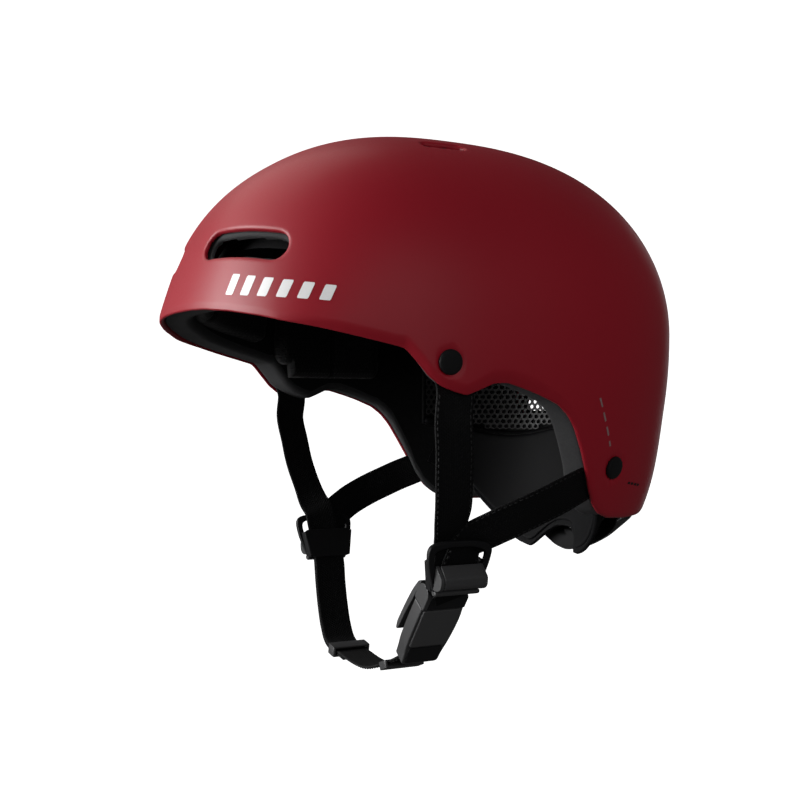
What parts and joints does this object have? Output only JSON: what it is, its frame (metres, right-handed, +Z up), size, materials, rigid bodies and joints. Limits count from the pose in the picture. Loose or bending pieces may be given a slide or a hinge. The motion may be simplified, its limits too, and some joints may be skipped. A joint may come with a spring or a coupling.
{
  "type": "water sports helmet",
  "caption": "Hard-shelled water helmet with foam liner, comfort pads, rear fit dial, riveted webbing straps, locking splitters and a chin buckle with a pull tab",
  "frame": {"origin": "middle of the head opening at the helmet's widest level, where the head mount sits", "axes": "+Z up through the crown, -Y out of the brow, +X to the wearer's left, -Z out of the head opening"},
  "size_m": [0.2172, 0.2778, 0.2895],
  "materials": {
    "shell": "satin paint on a moulded shell",
    "foam": "closed-cell foam, matt grey",
    "pad_fabric": "brushed fabric over foam",
    "mesh_fabric": "honeycomb spacer mesh",
    "webbing": "woven webbing, matt black",
    "black_plastic": "moulded, fine grain",
    "grey_plastic": "moulded, slightly lighter",
    "gear_plastic": "moulded, bare",
    "steel": "plain",
    "magnet": "plated"
  },
  "bodies": {
    "helmet": {"outer_shell": "shell", "foam_liner": "foam", "brow_pad": "pad_fabric", "crown_pad": "pad_fabric", "left_side_pad": "pad_fabric", "right_side_pad": "pad_fabric", "rear_mesh_pad": "mesh_fabric", "mesh_rib": "pad_fabric", "nape_cradle": "black_plastic", "nape_pad": "pad_fabric", "nape_housing": "black_plastic", "left_fit_band": "black_plastic", "right_fit_band": "black_plastic", "dial_housing": "black_plastic", "dial_back_plate": "black_plastic", "strap_rivets": "black_plastic", "rivet_washers": "steel", "left_front_strap": "webbing", "left_rear_strap": "webbing", "right_front_strap": "webbing", "right_rear_strap": "webbing", "left_splitter": "black_plastic", "right_splitter": "black_plastic", "lock_pins": "steel", "buckle_tongue": "black_plastic", "buckle_socket": "black_plastic", "buckle_cover": "grey_plastic", "tab_pin": "steel", "buckle_magnets": "magnet"},
    "dial": {"dial_knob": "black_plastic", "dial_pinion": "gear_plastic", "dial_screw": "steel"},
    "left_rack_slider": {"left_rack": "black_plastic"},
    "right_rack_slider": {"right_rack": "black_plastic"},
    "left_lever": {"left_lock_lever": "black_plastic"},
    "right_lever": {"right_lock_lever": "black_plastic"},
    "pull_tab": {"buckle_pull_tab": "grey_plastic"},
    "chin_loop": {"chin_keeper": "black_plastic"},
    "buckle_loop": {"buckle_keeper": "black_plastic"}
  },
  "joints": [
    {"name": "dial_turn", "type": "hinge", "parent": "helmet", "child": "dial", "pos_m": [0, 0.12552, -0.105], "axis": [0, 0.8895, -0.457], "range_deg": [-90, 90]},
    {"name": "left_rack_slide", "type": "slide", "parent": "helmet", "child": "left_rack_slider", "axis": [1, 0, 0], "range_m": [-0.0079, 0.0079]},
    {"name": "right_rack_slide", "type": "slide", "parent": "helmet", "child": "right_rack_slider", "axis": [-1, 0, 0], "range_m": [-0.0079, 0.0079]},
    {"name": "left_lock_lift", "type": "hinge", "parent": "helmet", "child": "left_lever", "pos_m": [0.08194, -0.0168, -0.12648], "axis": [0, 1, 0], "range_deg": [0, 80]},
    {"name": "right_lock_lift", "type": "hinge", "parent": "helmet", "child": "right_lever", "pos_m": [-0.08194, -0.0168, -0.12648], "axis": [0, -1, 0], "range_deg": [0, 80]},
    {"name": "pull_tab_lift", "type": "hinge", "parent": "helmet", "child": "pull_tab", "pos_m": [0.06324, -0.0168, -0.12915], "axis": [0, 1, 0], "range_deg": [0, 12], "stiffness_Nm_per_rad": 0.05, "springref_deg": -11.46},
    {"name": "chin_keeper_slide", "type": "slide", "parent": "helmet", "child": "chin_loop", "axis": [0.9821, 0, -0.1882], "range_m": [-0.006, 0.006]},
    {"name": "buckle_keeper_slide", "type": "slide", "parent": "helmet", "child": "buckle_loop", "axis": [0.9363, 0, 0.3511], "range_m": [-0.006, 0.006]}
  ],
  "couplings": [
    {"joint": "left_rack_slide", "follows": "dial_turn", "m_per_rad": 0.005},
    {"joint": "right_rack_slide", "follows": "dial_turn", "m_per_rad": 0.005}
  ]
}
